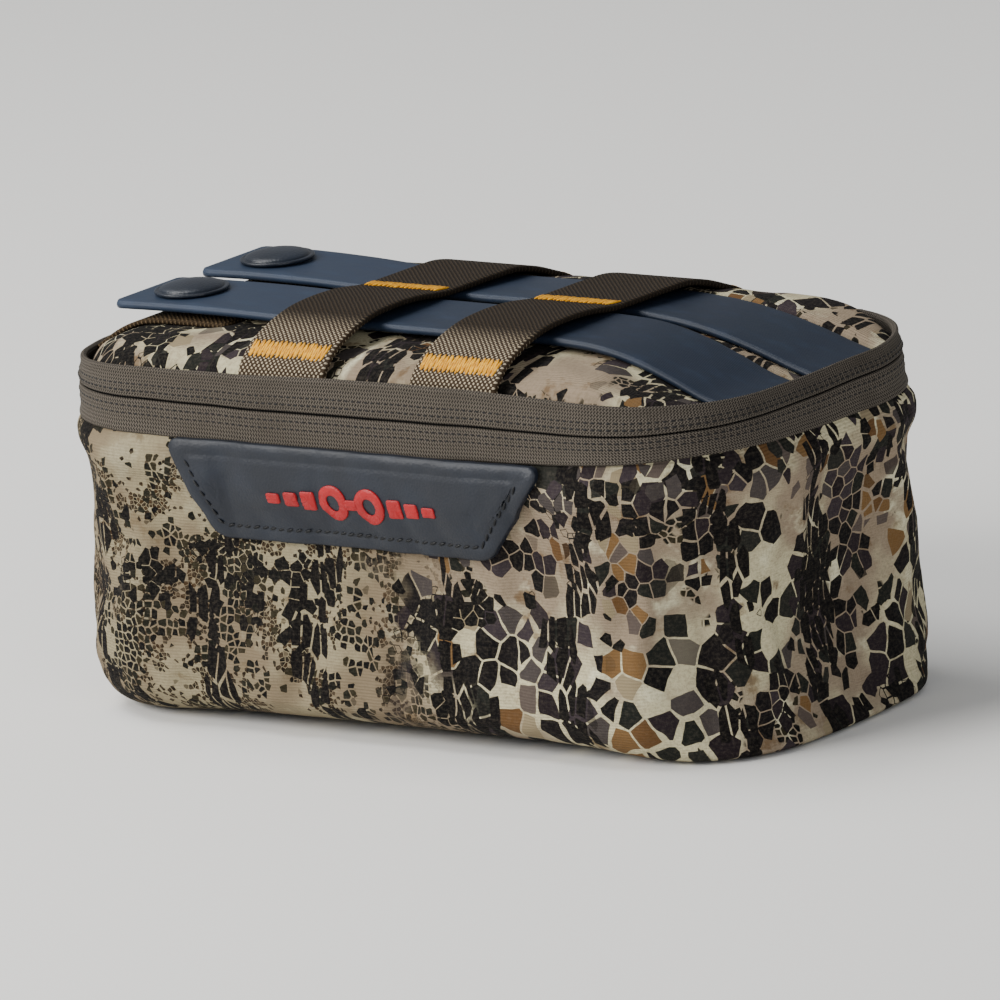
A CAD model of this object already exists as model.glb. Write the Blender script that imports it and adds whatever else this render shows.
import math
import random

import bmesh
import bpy
import numpy as np
from mathutils import Matrix, Vector


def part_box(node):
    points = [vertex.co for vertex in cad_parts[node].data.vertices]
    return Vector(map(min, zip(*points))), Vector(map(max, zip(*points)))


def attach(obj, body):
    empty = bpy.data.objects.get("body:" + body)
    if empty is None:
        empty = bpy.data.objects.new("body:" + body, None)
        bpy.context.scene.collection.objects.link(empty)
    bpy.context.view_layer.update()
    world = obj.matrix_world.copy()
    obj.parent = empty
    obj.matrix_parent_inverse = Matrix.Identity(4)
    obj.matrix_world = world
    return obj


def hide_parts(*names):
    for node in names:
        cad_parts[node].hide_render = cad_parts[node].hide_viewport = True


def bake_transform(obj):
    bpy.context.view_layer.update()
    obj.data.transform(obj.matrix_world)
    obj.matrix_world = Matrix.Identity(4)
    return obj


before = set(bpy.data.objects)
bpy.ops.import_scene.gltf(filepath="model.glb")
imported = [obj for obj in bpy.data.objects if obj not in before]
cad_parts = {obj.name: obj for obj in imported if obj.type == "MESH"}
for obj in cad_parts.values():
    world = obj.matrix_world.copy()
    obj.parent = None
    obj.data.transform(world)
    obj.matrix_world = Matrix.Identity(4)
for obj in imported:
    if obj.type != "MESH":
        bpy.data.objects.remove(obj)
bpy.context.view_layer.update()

# A zipped camouflage pouch: soft walls and lid, a zip band round the rim, two webbings over the lid
# and two coated straps with snap caps under them. Metres, +Z up, -Y is the front with the patch.

MM = 0.001
TAU = 2 * math.pi

# ---------------------------------------------------------------- places read from the frame

band_low, band_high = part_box("lower_zip_tape")
rim_low, rim_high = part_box("upper_zip_tape")
hinge_low, hinge_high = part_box("rear_hinge_lower")
HALF_LENGTH = band_high.x
HALF_DEPTH = -band_low.y
CORNER_EASE = 5 * MM
CORNER = HALF_LENGTH - hinge_high.x + CORNER_EASE
SEAM_Z = (band_high.z + rim_low.z) / 2
BAND_LOW_Z = band_low.z
RIM_Z = rim_high.z
WALL_TOP_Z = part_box("wall_fabric")[1].z
SPINE = HALF_LENGTH - HALF_DEPTH


# ---------------------------------------------------------------- general helpers

def smooth(low, high, value):
    """0 below low, 1 above high, and a smooth step between them."""
    t = np.clip((value - low) / (high - low), 0, 1)
    return t * t * (3 - 2 * t)


def curve_through(keys):
    """A function through (place, value) keys, smooth between them and level beyond them."""
    places = np.array([k[0] for k in keys], float)
    values = np.array([k[1] for k in keys], float)
    slopes = np.gradient(values, places)

    def at(place):
        place = np.clip(np.asarray(place, float), places[0], places[-1])
        k = np.clip(np.searchsorted(places, place) - 1, 0, len(places) - 2)
        span = places[k + 1] - places[k]
        t = (place - places[k]) / span
        a, b = values[k], values[k + 1]
        m, n = slopes[k] * span, slopes[k + 1] * span
        return (2 * t**3 - 3 * t**2 + 1) * a + (t**3 - 2 * t**2 + t) * m + (3 * t**2 - 2 * t**3) * b + (t**3 - t**2) * n

    return at


def waves(x, y, seed, scale, octaves=3):
    """A smooth irregular field between about -1 and 1, from a few sine waves with seeded directions."""
    rng = random.Random(seed)
    total = np.zeros(np.broadcast(x, y).shape)
    strength = 0.0
    for octave in range(octaves):
        for _ in range(3):
            angle = rng.uniform(0, TAU)
            rate = TAU / scale * 1.8**octave * rng.uniform(0.75, 1.3)
            phase = rng.uniform(0, TAU)
            amount = 0.6**octave
            total = total + amount * np.sin((x * math.cos(angle) + y * math.sin(angle)) * rate + phase)
            strength += amount * 0.5
    return total / strength


def link(name, mesh, smooth_faces=True):
    piece = bpy.data.objects.new(name, mesh)
    bpy.context.scene.collection.objects.link(piece)
    if smooth_faces:
        mesh.polygons.foreach_set("use_smooth", [True] * len(mesh.polygons))
    return piece


def mesh_piece(name, points, faces, uv=None, smooth_faces=True):
    """A mesh object. uv holds one (u, v) pair per vertex, in metres of cloth."""
    mesh = bpy.data.meshes.new(name)
    mesh.from_pydata([tuple(p) for p in points], [], [tuple(f) for f in faces])
    if uv is not None:
        layer = mesh.uv_layers.new(name="Cloth")
        corner_vertex = np.zeros(len(mesh.loops), int)
        mesh.loops.foreach_get("vertex_index", corner_vertex)
        layer.data.foreach_set("uv", np.asarray(uv, float)[corner_vertex].ravel())
    mesh.update()
    return link(name, mesh, smooth_faces)


def grid_faces(rows, columns, wrap_columns=False, wrap_rows=False, first=0):
    """Quads between neighbouring rows and columns of points that are numbered row by row."""
    faces = []
    for r in range(rows if wrap_rows else rows - 1):
        for c in range(columns if wrap_columns else columns - 1):
            a = first + r * columns + c
            b = first + r * columns + (c + 1) % columns
            up = (r + 1) % rows
            d = first + up * columns + c
            e = first + up * columns + (c + 1) % columns
            faces.append((a, b, e, d))
    return faces


def apply_modifiers(piece):
    """Replace the piece's mesh with the one its modifiers make."""
    depsgraph = bpy.context.evaluated_depsgraph_get()
    mesh = bpy.data.meshes.new_from_object(piece.evaluated_get(depsgraph), depsgraph=depsgraph)
    piece.modifiers.clear()
    piece.data = mesh
    return piece


def subdivide(piece, levels=1):
    modifier = piece.modifiers.new("Subdivision", "SUBSURF")
    modifier.levels = levels
    modifier.render_levels = levels
    return apply_modifiers(piece)


def fix_normals(piece):
    work = bmesh.new()
    work.from_mesh(piece.data)
    bmesh.ops.recalc_face_normals(work, faces=work.faces)
    work.to_mesh(piece.data)
    work.free()
    return piece


def finish_piece(piece, body, material, slot, *nodes):
    """Give the piece its material, its body, its slot and the CAD nodes that it stands for."""
    piece.data.materials.clear()
    piece.data.materials.append(material)
    if nodes:
        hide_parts(*nodes)
    if body:
        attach(piece, body)
    return piece


# ---------------------------------------------------------------- plan outline

def outline(travel, grow=0.0):
    """Points and outward normals of the plan outline, grown outwards.
    travel runs from 0 to 1 anticlockwise, seen from above, from the middle of the rear."""
    straight_x, straight_y = HALF_LENGTH - CORNER, HALF_DEPTH - CORNER
    quarter = TAU / 4 * CORNER
    lengths = [straight_x, quarter, 2 * straight_y, quarter, 2 * straight_x, quarter, 2 * straight_y, quarter, straight_x]
    corners = [(-1, 1), (-1, -1), (1, -1), (1, 1)]
    starts = np.concatenate([[0], np.cumsum(lengths)])
    place = np.mod(np.asarray(travel, float), 1) * starts[-1]
    segment = np.clip(np.searchsorted(starts, place, side="right") - 1, 0, 8)
    inside = place - starts[segment]
    x, y = np.zeros_like(place), np.zeros_like(place)
    nx, ny = np.zeros_like(place), np.zeros_like(place)
    sides = [(0, 1), (-1, 0), (0, -1), (1, 0), (0, 1)]
    heads = [(0, 1), (-1, straight_y), (-straight_x, -1), (1, -straight_y), (straight_x, 1)]
    for k in range(9):
        chosen = segment == k
        if k % 2:
            cx, cy = corners[k // 2]
            angle = (k // 2 + 1) * TAU / 4 + inside[chosen] / CORNER
            nx[chosen], ny[chosen] = np.cos(angle), np.sin(angle)
            x[chosen] = cx * straight_x + nx[chosen] * CORNER
            y[chosen] = cy * straight_y + ny[chosen] * CORNER
        else:
            sx, sy = sides[k // 2]
            hx, hy = heads[k // 2]
            nx[chosen], ny[chosen] = sx, sy
            along_x, along_y = -sy, sx
            x[chosen] = (sx * HALF_LENGTH if sx else hx) + along_x * inside[chosen]
            y[chosen] = (sy * HALF_DEPTH if sy else hy) + along_y * inside[chosen]
    return x + nx * grow, y + ny * grow, nx, ny


PERIMETER = 4 * (HALF_LENGTH - CORNER) + 4 * (HALF_DEPTH - CORNER) + TAU * CORNER
BAND_START = hinge_high.x / PERIMETER
BAND_END = 1 - BAND_START
RING = 272
# Tables of places round the outline give distances on an outline of this length.
TABLE_LENGTH = 0.551


def table_place(travel):
    return np.mod(travel, 1) * TABLE_LENGTH


def closing_faces(first):
    """Faces that close a ring of the outline's points across its long middle line."""
    faces = []
    for j in range(-RING // 4, RING // 4):
        across = [(RING // 2 - k) % RING for k in (j, j + 1)]
        corners = [j % RING, (j + 1) % RING, across[1], across[0]]
        faces.append([first + c for c in dict.fromkeys(corners)])
    return faces


# ---------------------------------------------------------------- wall, bottom and lining

# How far the wall stands out from the zip's outer face, by height.
WALL_GROW = curve_through([
    (0.0, -12.5 * MM), (0.8 * MM, -8 * MM), (2.5 * MM, -4.2 * MM), (6 * MM, -1.4 * MM), (12 * MM, 0.2 * MM),
    (20 * MM, 0.2 * MM), (32 * MM, -0.6 * MM), (46 * MM, -0.3 * MM), (58 * MM, 0.7 * MM), (66 * MM, 1.7 * MM),
    (69.0 * MM, 1.1 * MM), (71.0 * MM, -0.5 * MM), (72.5 * MM, -1.35 * MM), (WALL_TOP_Z, -1.4 * MM),
])
WALL_SHIFT = curve_through([(0.0, -1.8 * MM), (30 * MM, -1.9 * MM), (52 * MM, -0.8 * MM), (68 * MM, 0.0)])
# The foot of the right end flares out.
RIGHT_FLARE = curve_through([(0.0, 2.2 * MM), (8 * MM, 1.6 * MM), (20 * MM, 0.3 * MM), (34 * MM, 0.0), (WALL_TOP_Z, 0.0)])
# Upright creases in the wall: distance round it, half width and depth.
CREASES = [(0.318, 0.004, 0.9), (0.352, 0.0035, -0.7), (0.366, 0.003, 1.3), (0.392, 0.004, -0.8), (0.407, 0.003, 1.1),
           (0.232, 0.005, 0.7), (0.178, 0.004, 0.9), (0.130, 0.005, 0.8), (0.470, 0.005, 0.9), (0.045, 0.006, 0.6)]
# The foot of the wall is rounder along the left end and the front than round the right front corner.
FOOT_ROUNDING = curve_through([
    (0, 4 * MM), (0.100, 3 * MM), (0.145, -3 * MM), (0.180, -1 * MM), (0.225, 9 * MM), (0.300, 11 * MM),
    (0.330, 9 * MM), (0.348, 3 * MM), (0.365, -5 * MM), (0.385, -10 * MM), (0.440, -9 * MM), (0.462, -4 * MM),
    (0.490, 2 * MM), (0.551, 4 * MM),
])
FOOT_HEIGHT = 9 * MM
WALL_LAYER = 4.4 * MM


def side_shift(x, z):
    """How far the wall stands over to the side at (x, z)."""
    return WALL_SHIFT(z) + RIGHT_FLARE(z) * smooth(SPINE, HALF_LENGTH, x)


def wall_points(heights, inset=0.0, folds=1.0):
    """Rings of the wall at these heights, one row each, with the cloth place of every point."""
    travel = np.arange(RING) / RING
    points, cloth = [], []
    for z in heights:
        run = travel * PERIMETER
        slack = smooth(0, 14 * MM, z) * (1 - smooth(62 * MM, 70 * MM, z))
        fold = waves(run * 1.6, np.full_like(run, z * 0.6), 4, 46 * MM, 3) * 0.7 * MM * slack
        for place, half_width, depth in CREASES:
            sway = 2.5 * MM * math.sin(z / (26 * MM) + place * 40)
            fold = fold - depth * MM * slack * np.exp(-((run - place + sway) / half_width) ** 2)
        foot = FOOT_ROUNDING(table_place(travel)) * max(0, 1 - z / FOOT_HEIGHT) ** 2
        grow = WALL_GROW(z) - foot - inset + fold * folds
        x, y, _, _ = outline(travel, grow)
        points.extend(zip(x + side_shift(x, z), y, np.full_like(x, z)))
        cloth.extend(zip(run, np.full_like(run, z)))
    return points, cloth


def floor_rings(z, start_grow, count):
    """Rings that close the bottom, from the wall's foot in towards the middle line."""
    travel = np.arange(RING) / RING
    foot = FOOT_ROUNDING(table_place(travel)) * max(0, 1 - z / FOOT_HEIGHT) ** 2
    x0, y0, _, _ = outline(travel, start_grow - foot)
    spine = np.clip(x0, -SPINE, SPINE)
    points, cloth = [], []
    for k in range(1, count + 1):
        t = k / (count + 0.5)
        x, y = x0 * (1 - t) + spine * t, y0 * (1 - t)
        points.extend(zip(x + side_shift(x, 0), y, np.full_like(x, z)))
        cloth.extend(zip(x + 0.7, y + 0.3))
    return points, cloth


def relax_cloth(piece, pinned, pressure, slack, reach, frames=20):
    """Let cloth blow out between its pinned vertices, and cap how far each point may move."""
    start = np.array([v.co for v in piece.data.vertices])
    group = piece.vertex_groups.new(name="pin")
    for index, weight in pinned.items():
        group.add([index], weight, "REPLACE")
    modifier = piece.modifiers.new("Cloth", "CLOTH")
    cloth = modifier.settings
    cloth.vertex_group_mass = "pin"
    cloth.quality = 6
    cloth.mass = 0.25
    cloth.tension_stiffness = 30
    cloth.compression_stiffness = 30
    cloth.shear_stiffness = 12
    cloth.bending_stiffness = 0.4
    cloth.air_damping = 4
    cloth.use_pressure = True
    cloth.uniform_pressure_force = pressure
    cloth.shrink_min = -slack
    cloth.shrink_max = -slack
    cloth.effector_weights.gravity = 0
    scene = bpy.context.scene
    for number in range(1, frames + 1):
        scene.frame_set(number)
    apply_modifiers(piece)
    scene.frame_set(1)
    moved = np.array([v.co for v in piece.data.vertices]) - start
    length = np.linalg.norm(moved, axis=1, keepdims=True)
    moved *= np.minimum(1, reach / np.maximum(length, 1e-9))
    piece.data.vertices.foreach_set("co", (start + moved).ravel())
    piece.data.update()
    piece.vertex_groups.clear()
    return piece


def make_wall(material):
    """The padded camouflage wall with its rounded foot and flat bottom, blown out by cloth pressure."""
    heights = list(np.concatenate([
        np.linspace(0, 2.5 * MM, 5)[:-1], np.linspace(2.5 * MM, 12 * MM, 7)[:-1],
        np.linspace(12 * MM, 64 * MM, 24)[:-1], np.linspace(64 * MM, WALL_TOP_Z, 9)]))[::-1]
    points, cloth = wall_points(heights)
    foot, foot_cloth = floor_rings(0.0, float(WALL_GROW(0)), 8)
    rows = len(heights) + 8
    faces = grid_faces(rows, RING, wrap_columns=True)
    faces += closing_faces((rows - 1) * RING)
    wall = mesh_piece("wall_shell", points + foot, faces, cloth + foot_cloth)
    mend_seam(wall)
    pinned = {}
    for row, z in enumerate(heights):
        hold = max(float(smooth(66 * MM, 69 * MM, z)), float(1 - smooth(3 * MM, 10 * MM, z)), 0.02)
        for column in range(RING):
            pinned[row * RING + column] = hold
    for index in range(len(heights) * RING, rows * RING):
        pinned[index] = 1.0
    relax_cloth(wall, pinned, 1.2, 0.02, 2.2 * MM)
    settle(wall, 0.0)
    subdivide(wall)
    settle(wall, 0.0)
    fix_normals(wall)
    return finish_piece(wall, "pouch", material, "camo_fabric", "wall_fabric", "bottom_fabric")


def mend_seam(piece):
    """Keep the cloth map whole where the ring of columns closes at the middle of the rear."""
    layer = piece.data.uv_layers[0].data
    for polygon in piece.data.polygons:
        places = [layer[k].uv.x for k in polygon.loop_indices]
        if max(places) - min(places) > PERIMETER / 2 and max(places) <= PERIMETER:
            for k in polygon.loop_indices:
                if layer[k].uv.x < PERIMETER / 2:
                    layer[k].uv.x += PERIMETER


def settle(piece, floor):
    """No point of the piece lies below the floor."""
    co = np.array([v.co for v in piece.data.vertices])
    co[:, 2] = np.maximum(co[:, 2], floor)
    piece.data.vertices.foreach_set("co", co.ravel())
    piece.data.update()


def make_liner(material):
    """The lining inside the wall and over the floor, with the padding's thickness at the rim."""
    heights = list(np.concatenate([np.linspace(4.6 * MM, 14 * MM, 5)[:-1], np.linspace(14 * MM, WALL_TOP_Z, 18)]))[::-1]
    edge = [WALL_TOP_Z] * 2
    outer, outer_cloth = wall_points(edge, 0.5 * MM, 0.0)
    inner, inner_cloth = wall_points(heights, WALL_LAYER, 0.6)
    foot, foot_cloth = floor_rings(4.6 * MM, float(WALL_GROW(4.6 * MM)) - WALL_LAYER, 8)
    points = outer[:RING] + inner + foot
    cloth = outer_cloth[:RING] + inner_cloth + foot_cloth
    rows = 1 + len(heights) + 8
    faces = grid_faces(rows, RING, wrap_columns=True)
    faces += closing_faces((rows - 1) * RING)
    liner = mesh_piece("pocket_lining", points, faces, cloth)
    mend_seam(liner)
    thick = liner.modifiers.new("Thickness", "SOLIDIFY")
    thick.thickness = 0.5 * MM
    thick.offset = 0
    apply_modifiers(liner)
    return finish_piece(liner, "pouch", material, "lining", "wall_foam", "wall_lining", "bottom_foam", "floor_lining")


# ---------------------------------------------------------------- straps and webbings

STRAP_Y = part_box("far_strap")[0].y + (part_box("far_strap")[1].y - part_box("far_strap")[0].y) / 2
STRAP_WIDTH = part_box("far_strap")[1].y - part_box("far_strap")[0].y
STRAP_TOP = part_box("near_strap_tail")[1].z
STRAP_THICK = STRAP_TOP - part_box("near_strap_tail")[0].z
STRAP_FREE_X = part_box("near_strap_tail")[0].x
SNAP_X = (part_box("near_snap_cap")[0].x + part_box("near_snap_cap")[1].x) / 2
WEB_LEFT = [(a + b) / 2 for a, b in zip(*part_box("left_webbing"))]
WEB_RIGHT = [(a + b) / 2 for a, b in zip(*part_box("right_webbing"))]
WEB_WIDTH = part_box("left_webbing")[1].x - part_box("left_webbing")[0].x

# Height of each strap's upper face along X, at its middle.
NEAR_TOP = curve_through([
    (-87 * MM, 94.6 * MM), (-73 * MM, 94.8 * MM), (-55 * MM, 94.8 * MM), (-36 * MM, 94.4 * MM), (-10 * MM, 94.3 * MM),
    (20 * MM, 94.2 * MM), (44 * MM, 94.3 * MM), (56 * MM, 93.4 * MM), (67 * MM, 90.9 * MM), (77 * MM, 87.2 * MM),
    (86 * MM, 83.4 * MM), (93.5 * MM, 81.2 * MM),
])
FAR_TOP = curve_through([
    (-87 * MM, 94.6 * MM), (-73 * MM, 94.7 * MM), (-55 * MM, 94.3 * MM), (-36 * MM, 93.4 * MM), (-10 * MM, 93.2 * MM),
    (20 * MM, 93.2 * MM), (44 * MM, 92.4 * MM), (56 * MM, 91.2 * MM), (67 * MM, 89.0 * MM), (77 * MM, 86.2 * MM),
    (86 * MM, 83.2 * MM), (93.5 * MM, 81.0 * MM),
])
FAR_TILT = curve_through([(-87 * MM, 0.0), (-60 * MM, -0.02), (-30 * MM, -0.05), (40 * MM, -0.06), (93 * MM, -0.03)])


def rounded_section(width, thickness, edge, flat_count, edge_count):
    """Points (across, up, cloth_across) round a flat strap's section, starting at its upper left."""
    half, rise = width / 2, thickness / 2
    points = []
    for k in range(flat_count + 1):
        across = (half - edge) * (2 * k / flat_count - 1)
        points.append((across, rise, across))
    for k in range(1, edge_count):
        angle = TAU / 4 - TAU / 2 * k / edge_count
        points.append((half - edge + edge * math.cos(angle), rise * math.sin(angle), half - edge + edge * k / edge_count))
    for k in range(flat_count + 1):
        across = (half - edge) * (1 - 2 * k / flat_count)
        points.append((across, -rise, across))
    for k in range(1, edge_count):
        angle = -TAU / 4 - TAU / 2 * k / edge_count
        points.append((-half + edge + edge * math.cos(angle), rise * math.sin(angle), -half + edge - edge * k / edge_count))
    return points


def band_along(name, centres, sides, section, width_scale=None, thick_scale=None, edge_wave=None):
    """A flat band swept along its centre line: sides are unit vectors across it, at each centre."""
    centres = np.array(centres, float)
    sides = np.array(sides, float)
    tangents = np.gradient(centres, axis=0)
    tangents /= np.linalg.norm(tangents, axis=1, keepdims=True)
    ups = np.cross(tangents, -sides)
    ups /= np.linalg.norm(ups, axis=1, keepdims=True)
    run = np.concatenate([[0], np.cumsum(np.linalg.norm(np.diff(centres, axis=0), axis=1))])
    points, cloth = [], []
    for k in range(len(centres)):
        scale = 1.0 if width_scale is None else width_scale[k]
        thick = 1.0 if thick_scale is None else thick_scale[k]
        swell = 0.0 if edge_wave is None else edge_wave(run[k])
        for across, up, cloth_across in section:
            edge_side = math.copysign(swell, across) * abs(across / section[0][0]) ** 4 if swell else 0.0
            points.append(centres[k] + sides[k] * (across * scale + edge_side) + ups[k] * up * thick)
            cloth.append((cloth_across, run[k]))
    size = len(section)
    faces = grid_faces(len(centres), size, wrap_columns=True)
    faces.append(tuple(range(size))[::-1])
    last = (len(centres) - 1) * size
    faces.append(tuple(range(last, last + size)))
    return fix_normals(mesh_piece(name, points, faces, cloth))


def strap_frame(x, side):
    """Centre and sideways direction of a coated strap at x. side is -1 for the near, 1 for the far."""
    top = NEAR_TOP(x) if side < 0 else FAR_TOP(x)
    tilt = 0.0 if side < 0 else float(FAR_TILT(x))
    return (x, side * STRAP_Y, float(top) - STRAP_THICK / 2), (0.0, math.cos(tilt), math.sin(tilt))


def make_strap(name, side, nodes, material):
    """One coated strap, whole from its free end to where it is sewn in under the rim."""
    free_end, sewn_end = STRAP_FREE_X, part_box("near_strap")[1].x - 1.5 * MM
    places = np.concatenate([free_end + np.linspace(0, 3 * MM, 7)[:-1], np.linspace(free_end + 3 * MM, sewn_end, 120)])
    centres, sides = zip(*[strap_frame(float(x), side) for x in places])
    from_end = np.clip((places - free_end) / (2.2 * MM), 0, 1)
    narrow = 1 - (1 - np.sqrt(1 - (1 - from_end) ** 2)) * 0.10
    section = rounded_section(STRAP_WIDTH, STRAP_THICK, 0.95 * MM, 10, 6)
    strap = band_along(name, centres, sides, section, width_scale=narrow)
    finish_piece(strap, None, material, "strap_coated", *nodes)
    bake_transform(strap)
    return strap


# Height of the webbings' upper face along Y, at the left and right webbing.
WEB_TOP = curve_through([
    (-50.6 * MM, 84.0 * MM), (-49.6 * MM, 87.2 * MM), (-47.5 * MM, 90.0 * MM), (-43.5 * MM, 92.9 * MM),
    (-38 * MM, 95.2 * MM), (-31 * MM, 97.0 * MM), (-22 * MM, 97.7 * MM), (-12 * MM, 97.3 * MM), (-3 * MM, 96.1 * MM),
    (6 * MM, 95.9 * MM), (16 * MM, 95.8 * MM), (25 * MM, 95.4 * MM), (31 * MM, 94.0 * MM), (38 * MM, 91.4 * MM),
    (44 * MM, 88.8 * MM), (48 * MM, 86.2 * MM), (50.2 * MM, 83.4 * MM),
])
WEB_THICK = 1.5 * MM
WEAVE_PITCH = 1.27 * MM


def web_centres(x):
    """Centre line of a webbing at x, from the front rim to the rear."""
    places = np.linspace(-50.6 * MM, 50.2 * MM, 330)
    tops = WEB_TOP(places)
    return [(x, float(y), float(z) - WEB_THICK / 2) for y, z in zip(places, tops)]


def make_webbing(name, x, node, material):
    """A woven webbing over the lid, with the small scallops of its selvedge."""
    centres = web_centres(x)
    section = rounded_section(WEB_WIDTH - 0.5 * MM, WEB_THICK, 0.6 * MM, 20, 4)
    scallop = lambda run: 0.22 * MM * abs(math.sin(run / WEAVE_PITCH * TAU / 2))
    webbing = band_along(name, centres, [(1.0, 0.0, 0.0)] * len(centres), section, edge_wave=scallop)
    return finish_piece(webbing, "lid", material, "webbing", node)


TAB_TOP = curve_through([
    (-95.2 * MM, 82.4 * MM), (-92 * MM, 84.4 * MM), (-88 * MM, 86.9 * MM), (-84 * MM, 88.9 * MM), (-79 * MM, 90.5 * MM),
    (-74 * MM, 91.0 * MM), (-66 * MM, 91.1 * MM), (-54.5 * MM, 91.0 * MM),
])
TAB_THICK = 1.2 * MM


def make_tab(name, side, node, material):
    """The short webbing tab under a strap's free end, which carries the snap's stud."""
    places = np.linspace(-95.2 * MM, -54.6 * MM, 110)
    centres = [(float(x), side * STRAP_Y, float(z) - TAB_THICK / 2) for x, z in zip(places, TAB_TOP(places))]
    section = rounded_section(STRAP_WIDTH - 0.5 * MM, TAB_THICK, 0.5 * MM, 20, 4)
    scallop = lambda run: 0.2 * MM * abs(math.sin(run / WEAVE_PITCH * TAU / 2))
    tab = band_along(name, centres, [(0.0, 1.0, 0.0)] * len(centres), section, edge_wave=scallop)
    return finish_piece(tab, "lid", material, "webbing", node)


# ---------------------------------------------------------------- lid

LID_EDGE_OUT = -1.25 * MM
LID_EDGE_Z = 79.9 * MM
LID_CLOTH_START = 0.4
SIDE_RISE = curve_through([
    (0, 80.9 * MM), (0.8 * MM, 82.6 * MM), (2.4 * MM, 85.0 * MM), (6 * MM, 88.0 * MM), (10 * MM, 89.5 * MM),
    (19 * MM, 91.3 * MM), (30 * MM, 91.9 * MM), (52 * MM, 92.1 * MM),
])
LEFT_RISE = curve_through([
    (0, 80.9 * MM), (3.5 * MM, 82.9 * MM), (9.5 * MM, 85.6 * MM), (19 * MM, 89.3 * MM), (31 * MM, 90.9 * MM),
    (45 * MM, 91.4 * MM), (62 * MM, 91.9 * MM), (90 * MM, 92.2 * MM),
])
RIGHT_RISE = curve_through([
    (0, 79.9 * MM), (5 * MM, 80.7 * MM), (9 * MM, 82.2 * MM), (18 * MM, 85.4 * MM), (28 * MM, 88.1 * MM),
    (38 * MM, 90.2 * MM), (50 * MM, 91.4 * MM), (80 * MM, 92.1 * MM),
])


def soft_min(values, softness):
    """The least of the values, with their crossings rounded off."""
    lowest = np.minimum.reduce(values)
    return lowest - softness * np.log(sum(np.exp((lowest - v) / softness) for v in values))


def pressed_by(x, y):
    """The underside of everything that lies on the lid at (x, y), rising away from its edges."""
    covers = []
    for side, top in ((-1, NEAR_TOP), (1, FAR_TOP)):
        beside = np.maximum(0, np.abs(y - side * STRAP_Y) - STRAP_WIDTH / 2)
        tilt = 0 if side < 0 else FAR_TILT(x) * (y - STRAP_Y)
        covers.append(top(x) + tilt - STRAP_THICK - 0.25 * MM + 0.7 * beside)
        past_tab = np.maximum(0, x + 54 * MM)
        covers.append(TAB_TOP(x) - TAB_THICK - 0.2 * MM + 0.7 * beside + 0.7 * past_tab)
    for middle in (WEB_LEFT[0], WEB_RIGHT[0]):
        beside = np.maximum(0, np.abs(x - middle) - WEB_WIDTH / 2)
        covers.append(WEB_TOP(y) - WEB_THICK - 0.25 * MM + 0.7 * beside)
    return covers


def lid_height(x, y, inward):
    """Height of the lid's fabric at (x, y), this far inwards of the rim."""
    puff = waves(x * 1.4, y * 1.4, 11, 40 * MM, 3) * 0.55 * MM * smooth(2 * MM, 12 * MM, inward)
    profiles = [SIDE_RISE(inward), LEFT_RISE(x + HALF_LENGTH), RIGHT_RISE(HALF_LENGTH - x)]
    free = soft_min(profiles, 0.6 * MM) + puff
    return soft_min([free] + pressed_by(x, y), 0.12 * MM)


def inward_rings(shares):
    """Rings from the band's inner face in to the middle line: x, y, depth inwards and the edge's height."""
    x0, y0, edge_z = band_point(np.arange(RING) / RING, LID_EDGE_OUT, LID_EDGE_Z)
    spine = np.clip(x0, -SPINE, SPINE)
    rings = []
    for t in shares:
        x, y = x0 * (1 - t) + spine * t, y0 * (1 - t)
        rings.append((x, y, np.full_like(x, t * (HALF_DEPTH + LID_EDGE_OUT)), edge_z))
    return rings


def make_lid(material):
    """The domed top of soft camouflage fabric, pressed down where straps and webbings cross it."""
    shares = np.concatenate([[0, 0.006, 0.016, 0.032, 0.055], np.linspace(0.085, 0.985, 34)])
    points = []
    for x, y, inward, edge_z in inward_rings(shares):
        join_in = smooth(0, 5 * MM, inward)
        height = lid_height(x, y, inward)
        edge = np.minimum(edge_z + 1.2 * inward, height)
        points.extend(zip(x, y, edge * (1 - join_in) + height * join_in))
    faces = grid_faces(len(shares), RING, wrap_columns=True) + closing_faces((len(shares) - 1) * RING)
    cloth = [(p[0] + LID_CLOTH_START, p[1] + LID_CLOTH_START) for p in points]
    lid = fix_normals(subdivide(mesh_piece("lid_shell", points, faces, cloth)))
    return finish_piece(lid, "lid", material, "camo_fabric", "lid_fabric")


def make_lid_underside(material):
    """The padded lining on the underside of the lid."""
    shares = np.concatenate([[0, 0.02, 0.05], np.linspace(0.1, 0.985, 16)])
    points = []
    for x, y, inward, edge_z in inward_rings(shares):
        quilt = np.abs(np.sin(x / (19 * MM) * TAU / 2)) * np.abs(np.sin(y / (19 * MM) * TAU / 2))
        sag = smooth(0, 8 * MM, inward) * (0.9 * MM + 0.5 * MM * quilt)
        under_fabric = np.where(inward > 0, lid_height(x, y, inward) - 0.9 * MM, edge_z)
        points.extend(zip(x, y, np.minimum(edge_z - sag, under_fabric)))
    faces = grid_faces(len(shares), RING, wrap_columns=True) + closing_faces((len(shares) - 1) * RING)
    cloth = [(p[0], p[1]) for p in points]
    underside = mesh_piece("lid_underside", points, [face[::-1] for face in faces], cloth)
    subdivide(underside)
    return finish_piece(underside, "lid", material, "lining", "lid_foam", "lid_lining")


# ---------------------------------------------------------------- zip band

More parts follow.
